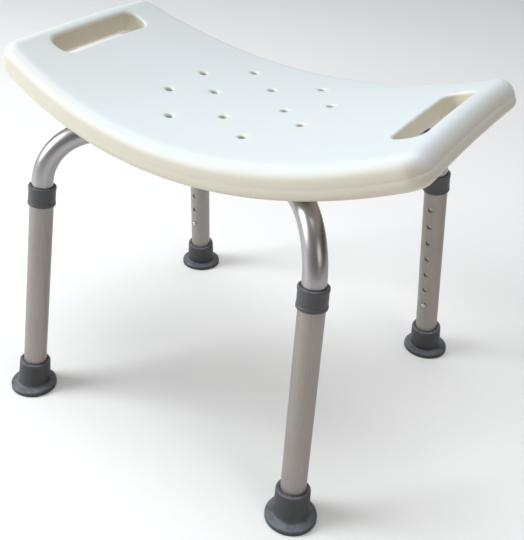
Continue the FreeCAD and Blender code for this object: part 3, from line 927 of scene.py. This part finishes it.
def fine_grain():
    """The fine pebbled grain of a mould, and a broad, soft unevenness."""
    if "Fine Grain" in bpy.data.node_groups:
        return bpy.data.node_groups["Fine Grain"]
    tree, given, result = new_group("Fine Grain", [("Grain Scale", 900.0), ("Broad Scale", 9.0)],
                                    ["Grain", "Broad"])
    place = add_node(tree, "ShaderNodeTexCoord").outputs["Object"]
    tree.links.new(noise(tree, place, given.outputs["Grain Scale"], 3.0, 0.55),
                   result.inputs["Grain"])
    tree.links.new(noise(tree, place, given.outputs["Broad Scale"], 4.0, 0.5),
                   result.inputs["Broad"])
    return tree


def drawn_lines():
    """The faint lines that drawing leaves along a tube that stands nearly upright."""
    if "Drawn Lines" in bpy.data.node_groups:
        return bpy.data.node_groups["Drawn Lines"]
    tree, given, result = new_group("Drawn Lines", [("Line Scale", 700.0)], ["Lines", "Smudges"])
    place = add_node(tree, "ShaderNodeTexCoord").outputs["Object"]
    slim = add_node(tree, "ShaderNodeMapping", {"Vector": place, "Scale": (1.0, 1.0, 0.012)})
    tree.links.new(noise(tree, slim.outputs["Vector"], given.outputs["Line Scale"], 4.0, 0.6),
                   result.inputs["Lines"])
    tree.links.new(noise(tree, place, 28.0, 5.0, 0.6), result.inputs["Smudges"])
    return tree


def settled_dust_and_sheen():
    """Where fine dust lies, and where a painted sky reflection brightens the surface: on what faces
    up, in uneven patches.
    """
    if "Settled Dust" in bpy.data.node_groups:
        return bpy.data.node_groups["Settled Dust"]
    tree, given, result = new_group("Settled Dust", [("Patch Scale", 60.0), ("Amount", 0.5)],
                                    ["Dust"])
    place = add_node(tree, "ShaderNodeTexCoord").outputs["Object"]
    patches = noise(tree, place, given.outputs["Patch Scale"], 6.0, 0.65)
    both = multiply(tree, facing_up(tree, 0.1, 1.0), remap(tree, patches, 0.2, 0.7))
    tree.links.new(multiply(tree, both, given.outputs["Amount"]), result.inputs["Dust"])
    return tree


def new_material(name, **constants):
    """A material with its shader, whose plain numbers are set on the shader itself."""
    material = bpy.data.materials.new(name)
    material.use_nodes = True
    shader = material.node_tree.nodes["Principled BSDF"]
    for socket, value in constants.items():
        shader.inputs[socket.replace("_", " ")].default_value = value
    return material, material.node_tree, shader


def place_group(tree, group, **inputs):
    node = tree.nodes.new("ShaderNodeGroup")
    node.node_tree = group
    for name, value in inputs.items():
        node.inputs[name.replace("_", " ")].default_value = value
    return node


def spread(tree, value, low, high):
    """A number between low and high, as a mask goes from its usual darkest to its brightest."""
    return remap(tree, value, 0.3, 0.7, low, high)


def finish(tree, shader, colour, roughness, height, strength, distance):
    """Links a surface's colour and roughness, and bumps it by a height."""
    node = add_node(tree, "ShaderNodeBump", {
        "Height": height, "Strength": strength, "Distance": distance})
    tree.links.new(colour, shader.inputs["Base Color"])
    tree.links.new(roughness, shader.inputs["Roughness"])
    tree.links.new(node.outputs["Normal"], shader.inputs["Normal"])


def made_once(name, colour, make, *values):
    """The material of that name, made from one of the stool's colours when first asked for."""
    colour = tuple(getattr(bpy.context.scene.stool_finishes, colour))
    return bpy.data.materials.get(name) or make(name, colour, *values)


def seat_material():
    """Satin moulded plastic with a fine grain, in painted light and shade: paler and cooler where
    it faces up, darker and warmer at its edges and slots.
    """
    name = "moulded seat plastic"
    if name in bpy.data.materials:
        return bpy.data.materials[name]
    colours = bpy.context.scene.stool_finishes
    material, tree, shader = new_material(name, IOR=1.5)
    grain = place_group(tree, fine_grain(), Grain_Scale=1100.0, Broad_Scale=7.0)
    # Painted light and shade: the colour runs from the edges' painted shade to the top's painted
    # light as the surface turns to face up.
    colour = mix_colours(tree, facing_up(tree, 0.25, 0.95), tuple(colours.seat_side_painted_shade),
                         tuple(colours.seat_top_painted_light))
    # Broad random patches, a little towards the painted shade colour.
    shaded = mix_colours(tree, spread(tree, grain.outputs["Broad"], 0.0, 0.10), colour,
                         tuple(colours.seat_side_painted_shade))
    finish(tree, shader, shaded, spread(tree, grain.outputs["Broad"], 0.42, 0.52),
           grain.outputs["Grain"], 0.12, 0.0002)
    return material


def aluminium(name, tube, metallic, lines_share, rough_low, rough_high):
    material, tree, shader = new_material(name, Metallic=metallic)
    lines = place_group(tree, drawn_lines(), Line_Scale=700.0)
    grain = place_group(tree, fine_grain(), Grain_Scale=2200.0, Broad_Scale=16.0)
    deep = tuple(0.86 * part for part in tube)
    streaked = mix_colours(tree, spread(tree, lines.outputs["Lines"], 0.0, lines_share), tube, deep)
    smudged = mix_colours(tree, spread(tree, lines.outputs["Smudges"], 0.0, 0.25), streaked, deep)
    finish(tree, shader, smudged, spread(tree, grain.outputs["Broad"], rough_low, rough_high),
           lines.outputs["Lines"], 0.10, 0.0001)
    return material


def tube_material():
    """Anodised aluminium, polished a little by bending."""
    return made_once("bent anodised tube", "tube", aluminium, 1.0, 0.3, 0.33, 0.40)


def leg_material():
    """Satin anodised aluminium, with faint drawn lines."""
    return made_once("satin anodised leg", "leg", aluminium, 0.65, 0.8, 0.38, 0.48)


def dusty_sheened_moulding(name, colour, roughness, grain_scale, grain_bump, dust_and_sheen_amount):
    dust_and_sheen_colour = tuple(bpy.context.scene.stool_finishes.dust)
    material, tree, shader = new_material(name, IOR=1.48)
    grain = place_group(tree, fine_grain(), Grain_Scale=grain_scale, Broad_Scale=40.0)
    dust = place_group(tree, settled_dust_and_sheen(), Patch_Scale=90.0, Amount=dust_and_sheen_amount)
    lighter = tuple(1.35 * part for part in colour)
    mottled = mix_colours(tree, spread(tree, grain.outputs["Broad"], 0.0, 1.0), colour, lighter)
    # Paler and bluish where it faces up: partly dust, partly a painted sky reflection.
    dusted_and_sheened = mix_colours(tree, dust.outputs["Dust"], mottled, dust_and_sheen_colour)
    rough = spread(tree, grain.outputs["Broad"], roughness - 0.06, roughness + 0.06)
    finish(tree, shader, dusted_and_sheened, rough, grain.outputs["Grain"], grain_bump, 0.0003)
    return material


def collar_material():
    """Dark grey moulded plastic with a soft sheen, paler and bluish where it faces up: partly dust,
    partly a painted sky reflection.
    """
    return made_once("grey collar plastic", "collar", dusty_sheened_moulding, 0.42, 1500.0, 0.12, 0.45)


def foot_material():
    """Matt dark grey rubber, paler and bluish where it faces up: partly dust, partly a painted sky
    reflection.
    """
    return made_once("grey foot rubber", "foot", dusty_sheened_moulding, 0.50, 1200.0, 0.25, 0.75)


def bright_metal(name, colour, rough_low, rough_high):
    material, tree, shader = new_material(name, Metallic=1.0)
    grain = place_group(tree, fine_grain(), Grain_Scale=1800.0, Broad_Scale=150.0)
    deep = tuple(0.8 * part for part in colour)
    tinted = mix_colours(tree, spread(tree, grain.outputs["Broad"], 0.0, 1.0), colour, deep)
    finish(tree, shader, tinted, spread(tree, grain.outputs["Broad"], rough_low, rough_high),
           grain.outputs["Grain"], 0.05, 0.0001)
    return material


def steel_material():
    """Bright plated steel."""
    return made_once("plated steel", "steel", bright_metal, 0.18, 0.32)


def brass_material():
    """Turned brass."""
    return made_once("turned brass", "brass", bright_metal, 0.25, 0.4)


# --- Stage -----------------------------------------------
def soft_light(name, place, aim, size, power, colour):
    bpy.ops.object.light_add(type="AREA", location=place)
    light = bpy.context.object
    light.name = name
    light.rotation_mode = "QUATERNION"
    light.rotation_quaternion = (Vector(aim) - Vector(place)).to_track_quat("-Z", "Y")
    light.data.shape = "DISK"
    light.data.size = size
    light.data.energy = power
    light.data.color = colour


def light_room():
    """A pale room, cool from the left and warmer and dimmer from the right."""
    world = bpy.data.worlds.new("pale room")
    world.use_nodes = True
    tree = world.node_tree
    background = tree.nodes["Background"]
    place = add_node(tree, "ShaderNodeTexCoord").outputs["Generated"]
    across = add_node(tree, "ShaderNodeVectorMath", {}, operation="DOT_PRODUCT")
    tree.links.new(place, across.inputs[0])
    across.inputs[1].default_value = (-0.80, -0.35, 0.50)
    share = remap(tree, across.outputs["Value"], -0.6, 0.7)
    colour = mix_colours(tree, share, (0.30, 0.27, 0.24), (1.0, 1.03, 1.06))
    tree.links.new(colour, background.inputs["Color"])
    background.inputs["Strength"].default_value = 0.3
    bpy.context.scene.world = world


def aim_camera():
    """The viewing angle, roll and lens of the usual three-quarter view from the front right."""
    azimuth, elevation, roll = (math.radians(angle) for angle in (32.88, 31.20, 1.87))
    back = Vector((math.sin(azimuth) * math.cos(elevation),
                   -math.cos(azimuth) * math.cos(elevation), math.sin(elevation)))
    level = Vector((math.cos(azimuth), math.sin(azimuth), 0))
    upward = back.cross(level)
    right = level * math.cos(roll) + upward * math.sin(roll)
    up = upward * math.cos(roll) - level * math.sin(roll)
    turn = Matrix((right, up, back)).transposed().to_4x4()
    bpy.ops.object.camera_add()
    camera = bpy.context.object
    camera.name = "three_quarter_view"
    camera.matrix_world = Matrix.Translation((0.4910, -0.7994, 0.7432)) @ turn
    camera.data.sensor_width = 36.0
    camera.data.lens = 57.53
    camera.data.shift_x = 0.0685
    camera.data.shift_y = -0.0287
    bpy.context.scene.camera = camera


class STOOL_OT_stage(bpy.types.Operator):
    """Lays the pale floor, and sets the soft light and the camera"""
    bl_idname = "stool.stage"
    bl_label = "Stage"

    def execute(self, context):
        clear_selection()
        bpy.ops.mesh.primitive_plane_add(size=12, location=(0, 0, 0))
        floor = bpy.context.object
        floor.name = "pale_floor"
        material, tree, shader = new_material("pale floor", Roughness=0.9)
        grain = place_group(tree, fine_grain(), Grain_Scale=400.0, Broad_Scale=2.0)
        pale = tuple(context.scene.stool_finishes.floor)
        paler = tuple(min(1.0, 1.02 * part) for part in pale)
        uneven = spread(tree, grain.outputs["Broad"], 0.0, 1.0)
        tree.links.new(mix_colours(tree, uneven, pale, paler), shader.inputs["Base Color"])
        floor.data.materials.append(material)
        light_room()
        soft_light("key_light", (-1.9, -1.4, 1.5), (0, 0, 0.35), 1.5, 62, (0.94, 0.98, 1.0))
        soft_light("top_light", (0.0, 0.3, 3.6), (0, 0, 0), 2.8, 60, (0.98, 0.99, 1.0))
        soft_light("side_light", (2.0, -0.8, 1.2), (0, 0, 0.2), 1.0, 6, (1.0, 0.96, 0.92))
        aim_camera()
        context.scene.view_settings.view_transform = "Standard"
        return {"FINISHED"}


class STOOL_PT_sidebar(bpy.types.Panel):
    """Lists the stool's pieces, sizes and colours"""
    bl_idname = "STOOL_PT_sidebar"
    bl_label = "Shower Stool"
    bl_space_type = "VIEW_3D"
    bl_region_type = "UI"
    bl_category = "Stool"

    def draw(self, context):
        layout = self.layout
        for operator in OPERATORS:
            layout.operator(operator.bl_idname)
        for settings in (context.scene.stool_seat, context.scene.stool_frame,
                         context.scene.stool_finishes):
            box = layout.box()
            for name in settings.__annotations__:
                box.prop(settings, name)


OPERATORS = (STOOL_OT_seat, STOOL_OT_frame_tubes, STOOL_OT_leg_tubes, STOOL_OT_collars,
             STOOL_OT_feet, STOOL_OT_buttons, STOOL_OT_fasteners, STOOL_OT_inner_metal,
             STOOL_OT_stage)
SETTINGS = {"stool_seat": StoolSeatSizes, "stool_frame": StoolFrameSizes,
            "stool_finishes": StoolFinishes}


def register():
    for name, settings in SETTINGS.items():
        bpy.utils.register_class(settings)
        setattr(bpy.types.Scene, name, PointerProperty(type=settings))
    for cls in OPERATORS + (STOOL_PT_sidebar,):
        bpy.utils.register_class(cls)


def unregister():
    for cls in reversed(OPERATORS + (STOOL_PT_sidebar,)):
        bpy.utils.unregister_class(cls)
    for name, settings in SETTINGS.items():
        delattr(bpy.types.Scene, name)
        bpy.utils.unregister_class(settings)


def main():
    """Makes every piece in order."""
    register()
    clear_selection()
    for operator in OPERATORS:
        getattr(bpy.ops.stool, operator.bl_idname.split(".")[1])()


if __name__ == "__main__":
    main()
